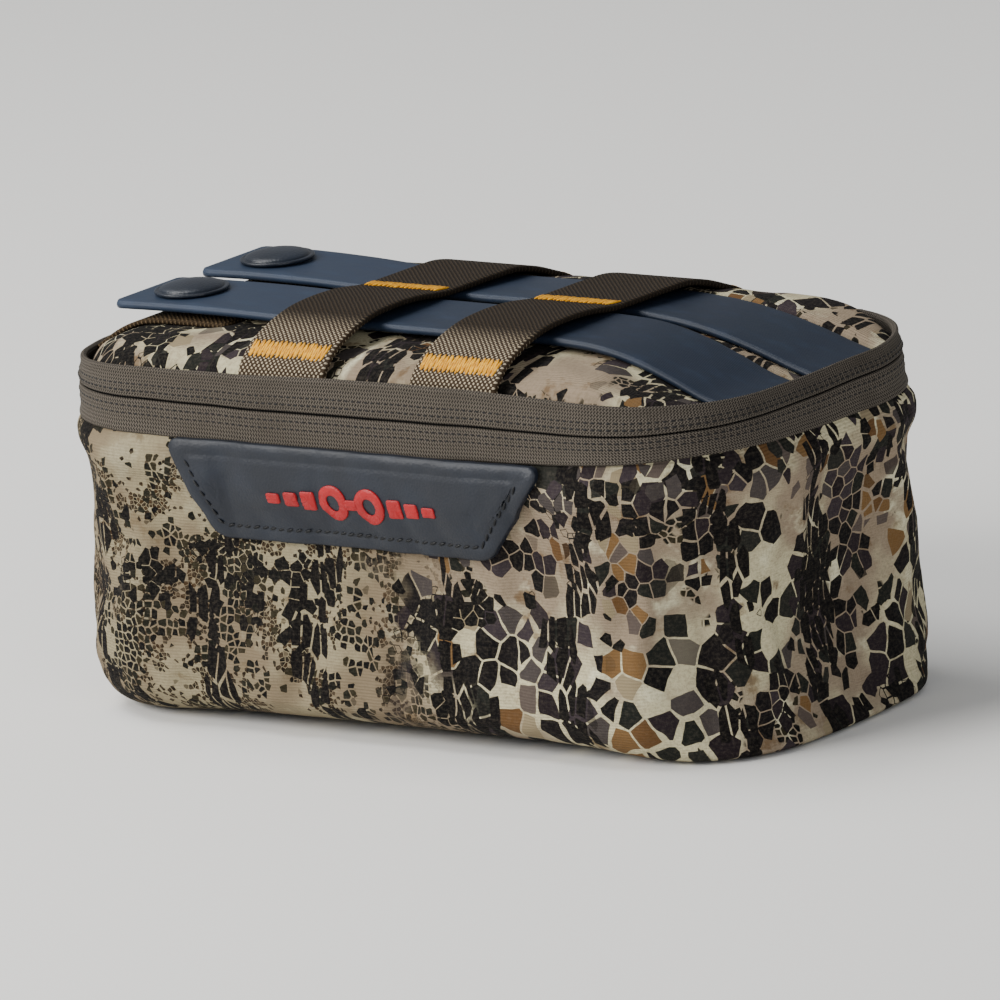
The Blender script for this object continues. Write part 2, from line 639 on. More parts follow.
LOWER_TAPE = [
    (-0.75, 78.1), (-0.3, 78.33), (0.0, 78.1), (0.06, 76.6), (0.14, 74.6), (0.1, 72.9), (0.34, 72.0), (0.66, 71.2),
    (0.58, 70.5), (0.1, 70.05), (-0.6, 70.0), (-1.15, 70.5), (-1.25, 71.6), (-1.2, 74.0), (-1.2, 77.6),
]
UPPER_TAPE = [
    (-0.75, 78.9), (-0.3, 78.67), (0.0, 78.9), (0.06, 80.4), (0.12, 82.4), (0.1, 84.4), (0.3, 85.2), (0.55, 86.0),
    (0.42, 86.7), (-0.1, 86.95), (-0.7, 86.9), (-1.15, 86.3), (-1.25, 85.2), (-1.2, 82.5), (-1.2, 79.3),
]
STITCH_ROWS = (1.9 * MM, 3.7 * MM)


REAR_RIM_SHARE = 0.62
# By distance round the rim from the middle of the rear: rear left corner, left end, front, right end.
RIM_LEAN = curve_through([
    (0, 0), (0.072, 0), (0.110, 0.12), (0.140, 0.3), (0.185, 0.28), (0.215, 0.06), (0.280, 0.0), (0.335, 0.16),
    (0.372, 0.5), (0.405, 0.62), (0.440, 0.5), (0.474, 0.08), (0.480, 0), (0.551, 0),
])
RIM_SHARE = curve_through([
    (0, REAR_RIM_SHARE), (0.072, REAR_RIM_SHARE), (0.110, 0.58), (0.140, 0.6), (0.172, 0.72), (0.200, 0.86),
    (0.240, 0.97), (0.285, 1.06), (0.325, 0.98), (0.360, 0.82), (0.390, 0.68), (0.420, 0.64), (0.450, 0.6),
    (0.480, REAR_RIM_SHARE), (0.551, REAR_RIM_SHARE),
])
LOWER_SHARE = curve_through([
    (0, 1), (0.072, 1), (0.200, 1.0), (0.285, 1.03), (0.325, 0.92), (0.350, 0.78), (0.376, 0.72), (0.400, 0.84),
    (0.430, 0.95), (0.480, 1), (0.551, 1),
])


def band_point(travel, out, z):
    """A point of the zip band: out from its outer face, at height z, leaning with the rim above the seam."""
    travel = np.asarray(travel, float)
    x, y, nx, ny = outline(travel)
    drift = waves(travel * PERIMETER, np.zeros_like(travel), 21, 70 * MM, 3) * 0.3 * MM
    place = table_place(travel)
    full_lean = RIM_LEAN(place)
    rise = np.maximum(0, z - SEAM_Z) * RIM_SHARE(place)
    drop = np.maximum(0, SEAM_Z - z) * LOWER_SHARE(place)
    upright = np.minimum(rise, 1.2 * MM)
    leaning = rise - upright
    lean = full_lean * smooth(0.3 * MM, 2.2 * MM, rise)
    away = out * np.cos(lean) - leaning * np.sin(full_lean) + drift * 0.6
    up = SEAM_Z - drop + upright + leaning * np.cos(full_lean) + out * np.sin(lean)
    return x + nx * away, y + ny * away, up + drift


def make_tape(name, body, profile, material, *nodes):
    """One half of the zip band, swept round the front from one rear corner to the other."""
    steps = 360
    travel = np.linspace(BAND_START, BAND_END, steps)
    outs, heights = np.array(profile).T * MM
    span = np.concatenate([[0], np.cumsum(np.hypot(np.diff(outs), np.diff(heights)))])
    columns = [np.stack(band_point(travel, o, z), axis=1) for o, z in zip(outs, heights)]
    points = np.stack(columns, axis=1).reshape(-1, 3)
    cloth = [(t * PERIMETER, s) for t in travel for s in span]
    size = len(profile)
    faces = grid_faces(steps, size, wrap_columns=True)
    faces.append(tuple(range(size)))
    faces.append(tuple(range((steps - 1) * size, steps * size))[::-1])
    tape = fix_normals(subdivide(mesh_piece(name, points, faces, cloth)))
    return finish_piece(tape, body, material, "zip_tape", *nodes)


def capsules(name, centres, alongs, outs, length, wide, high):
    """Many small rounded beads in one mesh. alongs and outs are unit vectors for each bead."""
    around, stations = 8, (-1.0, -0.82, -0.4, 0.4, 0.82, 1.0)
    girth = (0.05, 0.62, 1.0, 1.0, 0.62, 0.05)
    centres, alongs, outs = (np.asarray(v, float) for v in (centres, alongs, outs))
    across = np.cross(alongs, outs)
    angles = np.arange(around) / around * TAU
    parts = []
    for station, share in zip(stations, girth):
        for angle in angles:
            parts.append(centres + alongs * (station * length / 2)
                         + across * (math.cos(angle) * share * wide / 2) + outs * (math.sin(angle) * share * high / 2))
    points = np.stack(parts, axis=1).reshape(-1, 3)
    size = around * len(stations)
    faces = []
    for bead in range(len(centres)):
        first = bead * size
        faces += grid_faces(len(stations), around, wrap_columns=True, first=first)
        faces.append(tuple(range(first, first + around))[::-1])
        faces.append(tuple(range(first + size - around, first + size)))
    cloth = np.repeat(np.stack([centres[:, 0], centres[:, 2]], axis=1), size, axis=0)
    return mesh_piece(name, points, faces, cloth)


def band_frames(pitch, out, z, margin=0.004):
    """Places along the band at one height, with the direction along it and out of it."""
    count = int(PERIMETER * (BAND_END - BAND_START - 2 * margin) / pitch)
    travel = np.linspace(BAND_START + margin, BAND_END - margin, count)
    here = np.stack(band_point(travel, out, z), axis=1)
    ahead = np.stack(band_point(travel + 1e-4, out, z), axis=1)
    raised = np.stack(band_point(travel, out + 1 * MM, z), axis=1)
    alongs = (ahead - here) / np.linalg.norm(ahead - here, axis=1, keepdims=True)
    outs = (raised - here) / np.linalg.norm(raised - here, axis=1, keepdims=True)
    return here, alongs, outs


def make_band_stitches(name, body, direction, material):
    """Two rows of stitches along one tape, beside the seam."""
    rows = [band_frames(1.9 * MM, 0.02 * MM, SEAM_Z + direction * offset) for offset in STITCH_ROWS]
    centres, alongs, outs = (np.concatenate(parts) for parts in zip(*rows))
    stitches = capsules(name, centres, alongs, outs, 1.15 * MM, 0.55 * MM, 0.42 * MM)
    return finish_piece(stitches, body, material, "zip_tape")


def make_coil(name, body, first, direction, material, node):
    """Half of the zip's coil: small teeth behind the tape that reach over the seam."""
    centres, _, outs = band_frames(0.62 * MM, -1.55 * MM, SEAM_Z - direction * 0.3 * MM)
    centres, outs = centres[first::2], outs[first::2]
    centres[:, 2] += direction * 1.0 * MM
    uprights = np.tile((0.0, 0.0, 1.0), (len(centres), 1))
    coil = capsules(name, centres, uprights, outs, 2.9 * MM, 0.72 * MM, 1.0 * MM)
    return finish_piece(coil, body, material, "zip_coil", node)


def make_hinge(material):
    """The plain strip of tape across the rear that lets the lid fold back."""
    lower = [(o, z) for o, z in LOWER_TAPE if z < 75]
    seam = SEAM_Z / MM
    upper = [(o, seam + (z - seam) * REAR_RIM_SHARE) for o, z in UPPER_TAPE if z > 83]
    outer = [(0.06, z) for z in np.linspace(81, 75.4, 11)]
    inner = [(-1.2, z) for z in np.linspace(75.4, 81, 11)]
    lower_outer, lower_inner = [p for p in lower if p[0] > -0.5], [p for p in lower if p[0] <= -0.5]
    upper_outer, upper_inner = [p for p in upper if p[0] > -0.5], [p for p in upper if p[0] <= -0.5]
    profile = upper_outer[::-1] + outer + lower_outer + lower_inner + inner + upper_inner[::-1]
    places = np.linspace(hinge_high.x, hinge_low.x, 70)
    points, cloth = [], []
    for x in places:
        drift = float(waves(np.array(x), np.array(0.0), 31, 60 * MM, 2)) * 0.25 * MM
        for k, (out, z) in enumerate(profile):
            points.append((x, HALF_DEPTH + out * MM + drift, z * MM))
            cloth.append((x, k * 0.8 * MM))
    size = len(profile)
    faces = grid_faces(len(places), size, wrap_columns=True)
    faces.append(tuple(range(size)))
    faces.append(tuple(range((len(places) - 1) * size, len(places) * size))[::-1])
    hinge = fix_normals(subdivide(mesh_piece("rear_hinge", points, faces, cloth)))
    finish_piece(hinge, None, material, "zip_tape", "rear_hinge_lower", "rear_hinge_upper")
    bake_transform(hinge)
    return hinge


# ---------------------------------------------------------------- patch

patch_low, patch_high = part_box("front_patch")
emblem_low, emblem_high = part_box("patch_emblem")
PATCH_TOP = patch_high.z + 0.2 * MM
PATCH_CORNERS = [
    (patch_low.x + 1.6 * MM, PATCH_TOP), (patch_low.x + 13 * MM, patch_low.z - 0.3 * MM),
    (patch_high.x - 17.4 * MM, patch_low.z + 0.6 * MM), (patch_high.x + 1.8 * MM, PATCH_TOP + 0.6 * MM),
]
PATCH_THICK = 1.1 * MM
PATCH_STITCH_INSET = 3.4 * MM


def rounded_polygon(corners, radii, spacing):
    """Points round a polygon whose corners are rounded with these radii."""
    points = []
    corners = [Vector((x, z, 0)) for x, z in corners]
    for k, corner in enumerate(corners):
        before = (corners[k - 1] - corner).normalized()
        after = (corners[(k + 1) % len(corners)] - corner).normalized()
        half_angle = before.angle(after) / 2
        reach = radii[k] / math.tan(half_angle)
        middle = corner + (before + after).normalized() * (radii[k] / math.sin(half_angle))
        start, end = corner + before * reach - middle, corner + after * reach - middle
        turn = math.pi - 2 * half_angle
        steps = max(3, int(radii[k] * turn / spacing))
        for step in range(steps + 1):
            t = step / steps
            swung = start * (math.sin((1 - t) * turn) / math.sin(turn)) + end * (math.sin(t * turn) / math.sin(turn))
            points.append(tuple((middle + swung)[:2]))
    return even_points(points, spacing)


def even_points(points, spacing):
    """The same closed line with its points evenly spaced."""
    closed = np.array(points + points[:1])
    run = np.concatenate([[0], np.cumsum(np.linalg.norm(np.diff(closed, axis=0), axis=1))])
    count = 4 * int(run[-1] / spacing / 4)
    places = np.arange(count) / count * run[-1]
    return np.stack([np.interp(places, run, closed[:, 0]), np.interp(places, run, closed[:, 1])], axis=1)


def inset_line(line, amount):
    """A closed line moved inwards by this amount, without the loops that tight corners would give."""
    ahead = np.roll(line, -1, axis=0) - np.roll(line, 1, axis=0)
    ahead /= np.linalg.norm(ahead, axis=1, keepdims=True)
    normal = np.stack([-ahead[:, 1], ahead[:, 0]], axis=1)
    inside = line.mean(axis=0)
    if np.sum((line[0] - inside) * normal[0]) > 0:
        normal = -normal
    moved = line + normal * amount
    nearest = np.min(np.linalg.norm(moved[:, None] - line[None], axis=2), axis=1)
    kept = np.flatnonzero(nearest >= 0.999 * abs(amount))
    places = np.arange(len(line))
    return np.stack([np.interp(places, kept, moved[kept, axis], period=len(line)) for axis in (0, 1)], axis=1)


def front_surface(wall):
    """A function that gives the y of the wall's front at (x, z): smoothed, but never far behind a bulge."""
    co = np.array([v.co for v in wall.data.vertices])
    co = co[(co[:, 1] < 0) & (co[:, 2] > 30 * MM)]

    def at(x, z):
        near = np.hypot(co[:, 0] - x, co[:, 2] - z)
        weight = np.exp(-(near / (5 * MM)) ** 2)
        average = float(np.sum(weight * co[:, 1]) / np.sum(weight))
        bulge = float(co[near < 5 * MM, 1].min())
        return min(average, bulge + 0.1 * MM)

    return at


def raised_pad(name, line, surface, layers, shares):
    """A pad on the wall's front: edge layers (inset, height) round the line, then rings to its middle."""
    middle_z = (line[:, 1].min() + line[:, 1].max()) / 2
    half_height = (line[:, 1].max() - line[:, 1].min()) / 2
    low_x, high_x = line[:, 0].min() + half_height, line[:, 0].max() - half_height
    rings = [(inset_line(line, inset), height) for inset, height in layers]
    last, top = rings[-1]
    if low_x > high_x:
        low_x = high_x = (low_x + high_x) / 2
    spine = np.stack([np.clip(last[:, 0], low_x, high_x), np.full(len(last), middle_z)], axis=1)
    rings += [(last * (1 - t) + spine * t, top) for t in shares]
    points = [(x, surface(x, z) - height, z) for ring, height in rings for x, z in ring]
    faces = grid_faces(len(rings), len(line), wrap_columns=True)
    cloth = [(p[0], p[2]) for p in points]
    return fix_normals(mesh_piece(name, points, faces, cloth))


def make_patch(surface, material):
    """The smooth coated patch sewn on under the band, with a rounded edge."""
    line = rounded_polygon(PATCH_CORNERS, [2 * MM, 5.5 * MM, 5.5 * MM, 2 * MM], 1.4 * MM)
    groove = PATCH_STITCH_INSET
    layers = [
        (0, -0.6 * MM), (0, 0.55 * MM), (0.12 * MM, 0.85 * MM), (0.45 * MM, PATCH_THICK),
        (groove - 0.8 * MM, PATCH_THICK), (groove - 0.2 * MM, PATCH_THICK - 0.2 * MM),
        (groove + 0.2 * MM, PATCH_THICK - 0.2 * MM), (groove + 0.8 * MM, PATCH_THICK),
    ]
    patch = raised_pad("patch_panel", line, surface, layers, np.linspace(0.12, 1, 9))
    return finish_piece(patch, "pouch", material, "patch_coated", "front_patch")


def make_patch_stitches(surface, material):
    """Slanted stitches down both sides of the patch and along its foot."""
    line = inset_line(rounded_polygon(PATCH_CORNERS, [2 * MM, 5.5 * MM, 5.5 * MM, 2 * MM], 0.5 * MM), PATCH_STITCH_INSET)
    run = np.concatenate([[0], np.cumsum(np.linalg.norm(np.diff(line, axis=0), axis=1))])
    centres, alongs, outs = [], [], []
    for place in np.arange(0, run[-1], 2.55 * MM):
        x, z = np.interp(place, run, line[:, 0]), np.interp(place, run, line[:, 1])
        if z > PATCH_TOP - PATCH_STITCH_INSET - 0.8 * MM:
            continue
        ax = np.interp(place + 0.5 * MM, run, line[:, 0]) - x
        az = np.interp(place + 0.5 * MM, run, line[:, 1]) - z
        angle = math.atan2(az, ax) + 0.32
        centres.append((x, surface(x, z) - PATCH_THICK + 0.1 * MM, z))
        alongs.append((math.cos(angle), 0, math.sin(angle)))
        outs.append((0, -1, 0))
    stitches = capsules("patch_stitches", centres, alongs, outs, 2.1 * MM, 0.62 * MM, 0.55 * MM)
    return finish_piece(stitches, "pouch", material, "tack_thread")


def ring_line(x, z, radius, count=56):
    return np.array([(x + radius * math.cos(k / count * TAU), z + radius * math.sin(k / count * TAU)) for k in range(count)])


def make_emblem(surface, material):
    """A plain raised sign on the patch: two joined rings, like the two barrels, between short bars."""
    face = PATCH_THICK
    raised = face + 0.4 * MM
    middle_x = (emblem_low.x + emblem_high.x) / 2
    middle_z = (emblem_low.z + emblem_high.z) / 2
    radius = (emblem_high.z - emblem_low.z) / 2
    hole = radius * 0.46
    parts = []
    for side in (-1, 1):
        centre = middle_x + side * radius * 1.25
        points = []
        profile = [(radius, face - 0.3 * MM), (radius, raised - 0.1 * MM), (radius - 0.12 * MM, raised),
                   (hole + 0.12 * MM, raised), (hole, raised - 0.1 * MM), (hole, face - 0.3 * MM)]
        for r, height in profile:
            points += [(x, surface(x, z) - height, z) for x, z in ring_line(centre, middle_z, r)]
        faces = grid_faces(len(profile), 56, wrap_columns=True, wrap_rows=True)
        parts.append(fix_normals(mesh_piece("emblem_part", points, faces, [(p[0], p[2]) for p in points])))
    layers = [(0, face - 0.3 * MM), (0, raised - 0.1 * MM), (0.12 * MM, raised)]
    bars = [(middle_x - radius * 0.4, middle_x + radius * 0.4, -0.28, 0.28)]
    for side in (-1, 1):
        for step, half in enumerate((0.52, 0.4, 0.28)):
            near = middle_x + side * (radius * 2.95 + step * radius * 1.15)
            bars.append((near - radius * 0.42, near + radius * 0.42, -half, half))
    for low_x, high_x, low, high in bars:
        corners = [(low_x, middle_z + low * radius), (high_x, middle_z + low * radius),
                   (high_x, middle_z + high * radius), (low_x, middle_z + high * radius)]
        line = rounded_polygon(corners, [0.45 * MM] * 4, 0.3 * MM)
        parts.append(raised_pad("emblem_part", line, surface, layers, [0.5, 1]))
    emblem = join(parts, "patch_sign")
    return finish_piece(emblem, "pouch", material, "patch_print", "patch_emblem")


def join(parts, name):
    """One mesh object made of all the parts."""
    work = bmesh.new()
    for part in parts:
        work.from_mesh(part.data)
    mesh = bpy.data.meshes.new(name)
    work.to_mesh(mesh)
    work.free()
    for part in parts:
        bpy.data.objects.remove(part)
    return link(name, mesh)


# ---------------------------------------------------------------- tacks, caps and pull

TACK_THREADS = 34


def make_tacks(name, x, places, material, node):
    """Satin bar tacks across a webbing: close threads laid side by side, with uneven ends."""
    rng = random.Random(round(x * 1e5))
    low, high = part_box(node)
    centres, alongs, outs = [], [], []
    for place in places:
        for k in range(TACK_THREADS):
            px = low.x + 0.3 * MM + (high.x - low.x - 0.6 * MM) * k / (TACK_THREADS - 1)
            py = place + rng.uniform(-0.25, 0.25) * MM
            slope = float(WEB_TOP(py + 0.5 * MM) - WEB_TOP(py - 0.5 * MM)) / (1 * MM)
            slant = rng.uniform(-0.1, 0.1) + (0.12 if k % 2 else -0.12)
            along = Vector((slant, 1, slope)).normalized()
            out = Vector((0, -slope, 1)).normalized()
            centres.append((px + x - (low.x + high.x) / 2, py, float(WEB_TOP(py)) + 0.16 * MM))
            alongs.append(along)
            outs.append(out)
    tacks = capsules(name, centres, alongs, outs, 5.0 * MM, 0.8 * MM, 0.62 * MM)
    return finish_piece(tacks, "lid", material, "tack_thread", node)


# Radius and height of the cap, as shares: a low dome, a groove, a thin flange that stands on the strap, the stem.
CAP_PROFILE = [
    (0.0, 1.0), (0.2, 0.994), (0.4, 0.965), (0.58, 0.915), (0.72, 0.85), (0.81, 0.785), (0.855, 0.73),
    (0.868, 0.68), (0.875, 0.655), (0.89, 0.655), (0.93, 0.672), (0.975, 0.668), (0.995, 0.65), (1.0, 0.62), (1.0, 0.55), (0.99, 0.515), (0.965, 0.495), (0.9, 0.485),
    (0.3, 0.47), (0.28, 0.45), (0.27, 0.1), (0.25, 0.0), (0.0, 0.0),
]


def make_cap(name, node, body, material):
    """A domed snap cap with a thin flange and its stem through the strap."""
    low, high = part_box(node)
    centre = (low + high) / 2
    radius, rise = (high.x - low.x) / 2, high.z - low.z
    around = 72
    points = []
    for share, height in CAP_PROFILE:
        for k in range(around):
            angle = k / around * TAU
            points.append((centre.x + share * radius * math.cos(angle), centre.y + share * radius * math.sin(angle),
                           low.z + height * rise))
    faces = grid_faces(len(CAP_PROFILE), around, wrap_columns=True)
    cap = mesh_piece(name, points, faces, [(p[0], p[1]) for p in points])
    work = bmesh.new()
    work.from_mesh(cap.data)
    bmesh.ops.remove_doubles(work, verts=work.verts, dist=0.01 * MM)
    work.to_mesh(cap.data)
    work.free()
    fix_normals(subdivide(cap))
    return finish_piece(cap, body, material, "snap_cap", node)


def make_pull(material):
    """The moulded grip on the slider: a waisted tab with cross ribs."""
    low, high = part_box("pull_grip")
    middle = (low + high) / 2
    width, thickness, length = high.y - low.y, high.x - low.x, high.z - low.z
    steps = 150
    share = np.linspace(0, 1, steps)
    centres = [(middle.x, middle.y, high.z - t * length) for t in share]
    shoulder = 0.55 + 0.45 * smooth(0.0, 0.22, share)
    ends = np.sqrt(np.clip(1 - (np.maximum(0, share - 0.88) / 0.12) ** 2, 0.02, 1))
    waist = 1 - 0.14 * np.exp(-((share - 0.45) / 0.18) ** 2)
    ribbed = smooth(0.3, 0.36, share) * (1 - smooth(0.86, 0.92, share))
    ribs = 0.78 + 0.22 * np.cos((share - 0.33) * length / (2.1 * MM) * TAU) * ribbed
    section = rounded_section(width, thickness, 0.8 * MM, 8, 5)
    grip = band_along("pull_tab", centres, [(0.0, 1.0, 0.0)] * steps, section,
                      width_scale=shoulder * ends * waist, thick_scale=ribs * (0.6 + 0.4 * ends))
    return finish_piece(grip, "pull", material, "pull_rubber", "pull_grip")


# ---------------------------------------------------------------- materials

# The studio light lifts dark colours, so every colour is mixed this much deeper.
DEEPEN = 1.2


def tone(red, green, blue):
    """A colour from screen values of 0 to 255, as linear light."""
    def linear(value):
        value /= 255
        return value / 12.92 if value <= 0.04045 else ((value + 0.055) / 1.055) ** 2.4
    return (linear(red) ** DEEPEN, linear(green) ** DEEPEN, linear(blue) ** DEEPEN, 1.0)


class Graph:
    """The nodes of one material. Inputs may be numbers, colours or other nodes' sockets."""

    def __init__(self, name, **shader_values):
        self.material = bpy.data.materials.new(name)
        self.material.use_nodes = True
        self.tree = self.material.node_tree
        self.tree.nodes.clear()
        output = self.tree.nodes.new("ShaderNodeOutputMaterial")
        self.shader = self.tree.nodes.new("ShaderNodeBsdfPrincipled")
        self.tree.links.new(self.shader.outputs["BSDF"], output.inputs["Surface"])
        for key, value in shader_values.items():
            self.feed(self.shader.inputs[key.replace("_", " ")], value)

    def feed(self, socket, value):
        if isinstance(value, bpy.types.NodeSocket):
            self.tree.links.new(value, socket)
        else:
            socket.default_value = value

    def add(self, kind, inputs=None, **settings):
        node = self.tree.nodes.new(kind)
        for key, value in settings.items():
            setattr(node, key, value)
        for key, value in (inputs or {}).items():
            self.feed(node.inputs[key], value)
        return node

    def cloth(self):
        """The piece's cloth map, in metres."""
        return self.add("ShaderNodeUVMap", uv_map="Cloth").outputs["UV"]

    def place(self):
        """The place in the object, in metres."""
        return self.add("ShaderNodeTexCoord").outputs["Object"]

    def scaled(self, vector, x, y, z=1.0):
        node = self.add("ShaderNodeVectorMath", {0: vector, 1: (x, y, z)}, operation="MULTIPLY")
        return node.outputs["Vector"]

    def warped(self, vector, scale, amount):
        """The vector pushed about by noise of this scale."""
        noise = self.add("ShaderNodeTexNoise", {"Vector": vector, "Scale": scale, "Detail": 2.0})
        centred = self.add("ShaderNodeVectorMath", {0: noise.outputs["Color"], 1: (0.5, 0.5, 0.5)}, operation="SUBTRACT")
        moved = self.add("ShaderNodeVectorMath", {0: centred.outputs["Vector"], "Scale": amount}, operation="SCALE")
        return self.add("ShaderNodeVectorMath", {0: vector, 1: moved.outputs["Vector"]}, operation="ADD").outputs["Vector"]

    def part(self, vector, axis):
        return self.add("ShaderNodeSeparateXYZ", {0: vector}).outputs[axis]

    def math(self, operation, a, b=0.0, clamp=False):
        return self.add("ShaderNodeMath", {0: a, 1: b}, operation=operation, use_clamp=clamp).outputs[0]

    def step(self, value, low, high):
        """0 below low and 1 above high. low may be above high."""
        node = self.add("ShaderNodeMapRange", {"Value": value, "From Min": low, "From Max": high},
                        interpolation_type="SMOOTHSTEP")
        return node.outputs["Result"]

    def mix(self, factor, a, b, blend="MIX"):
        node = self.add("ShaderNodeMix", {0: factor, 6: a, 7: b}, data_type="RGBA", blend_type=blend)
        return node.outputs[2]

    def noise(self, vector, scale, detail=3.0, roughness=0.55):
        inputs = {"Vector": vector, "Scale": scale, "Detail": detail, "Roughness": roughness}
        return self.add("ShaderNodeTexNoise", inputs).outputs["Fac"]

    def cells(self, vector, scale, randomness=0.9):
        """Two random values per cell, the distance to the cell's edge in cell sizes, and its centre."""
        inputs = {"Vector": vector, "Scale": scale, "Randomness": randomness}
        flat = {"voronoi_dimensions": "2D"}
        cell = self.add("ShaderNodeTexVoronoi", inputs, feature="F1", **flat)
        edge = self.add("ShaderNodeTexVoronoi", inputs, feature="DISTANCE_TO_EDGE", **flat)
        colour = cell.outputs["Color"]
        return self.part(colour, 0), self.part(colour, 1), edge.outputs["Distance"], cell.outputs["Position"]

    def steps(self, value, colours):
        """Picks one of the colours by value, in equal shares."""
        ramp = self.add("ShaderNodeValToRGB", {"Fac": value})
        ramp.color_ramp.interpolation = "CONSTANT"
        elements = ramp.color_ramp.elements
        while len(elements) < len(colours):
            elements.new(0.5)
        for k, colour in enumerate(colours):
            elements[k].position = k / len(colours)
        for k, colour in enumerate(colours):
            elements[k].color = colour
        return ramp.outputs["Color"]

    def bump(self, height, distance, strength=1.0):
        node = self.add("ShaderNodeBump", {"Height": height, "Distance": distance, "Strength": strength})
        self.feed(self.shader.inputs["Normal"], node.outputs["Normal"])


CHAIN_SPACING = 0.036


def camo_fabric():
    """Printed camouflage: cream and taupe under dark cracked cells, small on one side and large on the other."""
    g = Graph("camo_fabric", Roughness=0.9, Specular_IOR_Level=0.12)
    flat = g.cloth()
    run, height = g.part(flat, 0), g.part(flat, 1)
    loose = g.warped(flat, 60.0, 0.004)

    # Ground: cream and taupe clouds, brown stains and fine speckle.
    fine = g.noise(flat, 1100.0, 3.0, 0.7)
    ground = g.mix(g.step(g.noise(flat, 30.0), 0.42, 0.58), tone(198, 191, 162), tone(152, 138, 120))
    ground = g.mix(g.step(g.noise(loose, 70.0, 4.0), 0.56, 0.7), ground, tone(212, 207, 180))
    stain = g.step(g.noise(loose, 95.0, 5.0, 0.65), 0.56, 0.68)
    ground = g.mix(g.math("MULTIPLY", stain, 0.75), ground, tone(112, 88, 58))
    pick, _, edge, centre = g.cells(loose, 1000.0)
    speck = g.step(g.math("ADD", g.math("MULTIPLY", pick, 0.2), g.noise(centre, 80.0, 4.0, 0.6)), 0.645, 0.655)
    speck = g.math("MULTIPLY", speck, g.step(edge, 0.03, 0.1))
    left_side = g.step(run, 0.31, 0.27)
    ground = g.mix(g.math("MULTIPLY", left_side, 0.65), ground, tone(122, 110, 88))
    speckled = g.math("MULTIPLY", speck, left_side)
    ground = g.mix(speckled, ground, g.mix(pick, tone(78, 58, 36), tone(30, 26, 20)))
    ground = g.mix(g.math("MULTIPLY", g.step(fine, 0.42, 0.66), 0.3), ground, tone(120, 106, 86))

    # Where each kind of cell shows: small cells on the front's left, large ones on its right.
    sway = g.math("MULTIPLY", g.math("SUBTRACT", g.noise(flat, 22.0, 3.0), 0.5), 0.14)
    where = g.math("ADD", run, sway)
    on_right = g.math("MULTIPLY", g.step(where, 0.272, 0.29), g.step(where, 0.54, 0.51))
    on_left = g.math("SUBTRACT", 1.0, on_right)

    # Small green-black cells in honeycomb clusters, and here and there pale cells in a black patch.
    pick, shade, edge, centre = g.cells(g.warped(flat, 80.0, 0.0022), 530.0, 0.72)
    cluster = g.math("ADD", g.math("MULTIPLY", pick, 0.13), g.noise(centre, 62.0, 3.0, 0.62))
    shown = g.math("MAXIMUM", on_left, g.step(g.noise(flat, 48.0), 0.56, 0.58))
    rounded = g.step(edge, 0.085, 0.115)
    small = g.math("MULTIPLY", g.math("MULTIPLY", g.step(cluster, 0.586, 0.588), rounded), shown)
    small_colour = g.steps(shade, [tone(26, 27, 22), tone(40, 40, 31), tone(17, 17, 17), tone(56, 51, 36)])
    colour = g.mix(small, ground, small_colour)
    turned = g.step(g.math("ADD", g.math("MULTIPLY", shade, 0.05), g.noise(centre, 44.0, 3.0, 0.6)), 0.652, 0.654)
    black_patch = g.math("MULTIPLY", turned, g.math("SUBTRACT", 1.0, g.math("MULTIPLY", rounded, g.step(pick, 0.45, 0.46))))
    colour = g.mix(black_patch, colour, tone(22, 20, 20))

    # Large cells, coloured in groups, some shrunk apart from each other.
    for scale, low, high, turn in ((165.0, 0.30, 0.54, 0.0), (290.0, 0.54, 0.78, 0.37)):
        pick, shade, edge, centre = g.cells(g.warped(g.scaled(flat, 1.0, 1.0 - turn * 0.4), 130.0, 0.0016), scale, 0.85)
        kind = g.noise(g.scaled(centre, 1.0, 1.0), 30.0, 2.0)
        mine = g.math("MULTIPLY", g.step(kind, low - 0.002, low), g.step(kind, high, high - 0.002))
        group = g.noise(centre, 62.0, 3.0, 0.6)
        present = g.step(g.math("ADD", g.math("MULTIPLY", pick, 0.34), g.noise(centre, 88.0, 2.0)), 0.57, 0.572)
        apart = g.math("MULTIPLY", g.step(g.noise(flat, 52.0, 2.0), 0.5, 0.62), 0.1)
        inside = g.step(g.math("SUBTRACT", edge, apart), 0.03, 0.05)
        large = g.math("MULTIPLY", g.math("MULTIPLY", present, inside), g.math("MULTIPLY", mine, on_right))
        dark = g.steps(shade, [tone(30, 26, 28), tone(40, 42, 38), tone(22, 20, 22), tone(52, 44, 48)])
        warm = g.steps(shade, [tone(124, 98, 66), tone(146, 134, 110), tone(108, 82, 54), tone(98, 88, 82)])
        grey = g.steps(shade, [tone(66, 58, 62), tone(50, 50, 46), tone(80, 74, 72), tone(44, 36, 40)])
        mixed = g.mix(g.step(group, 0.545, 0.55), dark, grey)
        mixed = g.mix(g.step(group, 0.43, 0.425), mixed, warm)
        colour = g.mix(large, colour, mixed)

    # Black knots of close cells, most of them at the left end of the lid.
    pick, _, edge, centre = g.cells(loose, 330.0)
    lid_left = g.math("MULTIPLY", g.step(g.part(g.place(), 0), -35 * MM, -60 * MM), g.step(g.part(g.place(), 2), 79 * MM, 80 * MM))
    knotted = g.math("ADD", g.noise(centre, 42.0, 4.0, 0.65), g.math("MULTIPLY", lid_left, 0.15))
    knot = g.step(g.math("ADD", g.math("MULTIPLY", pick, 0.1), knotted), 0.668, 0.67)
    colour = g.mix(g.math("MULTIPLY", knot, g.step(edge, 0.025, 0.05)), colour, tone(20, 19, 19))

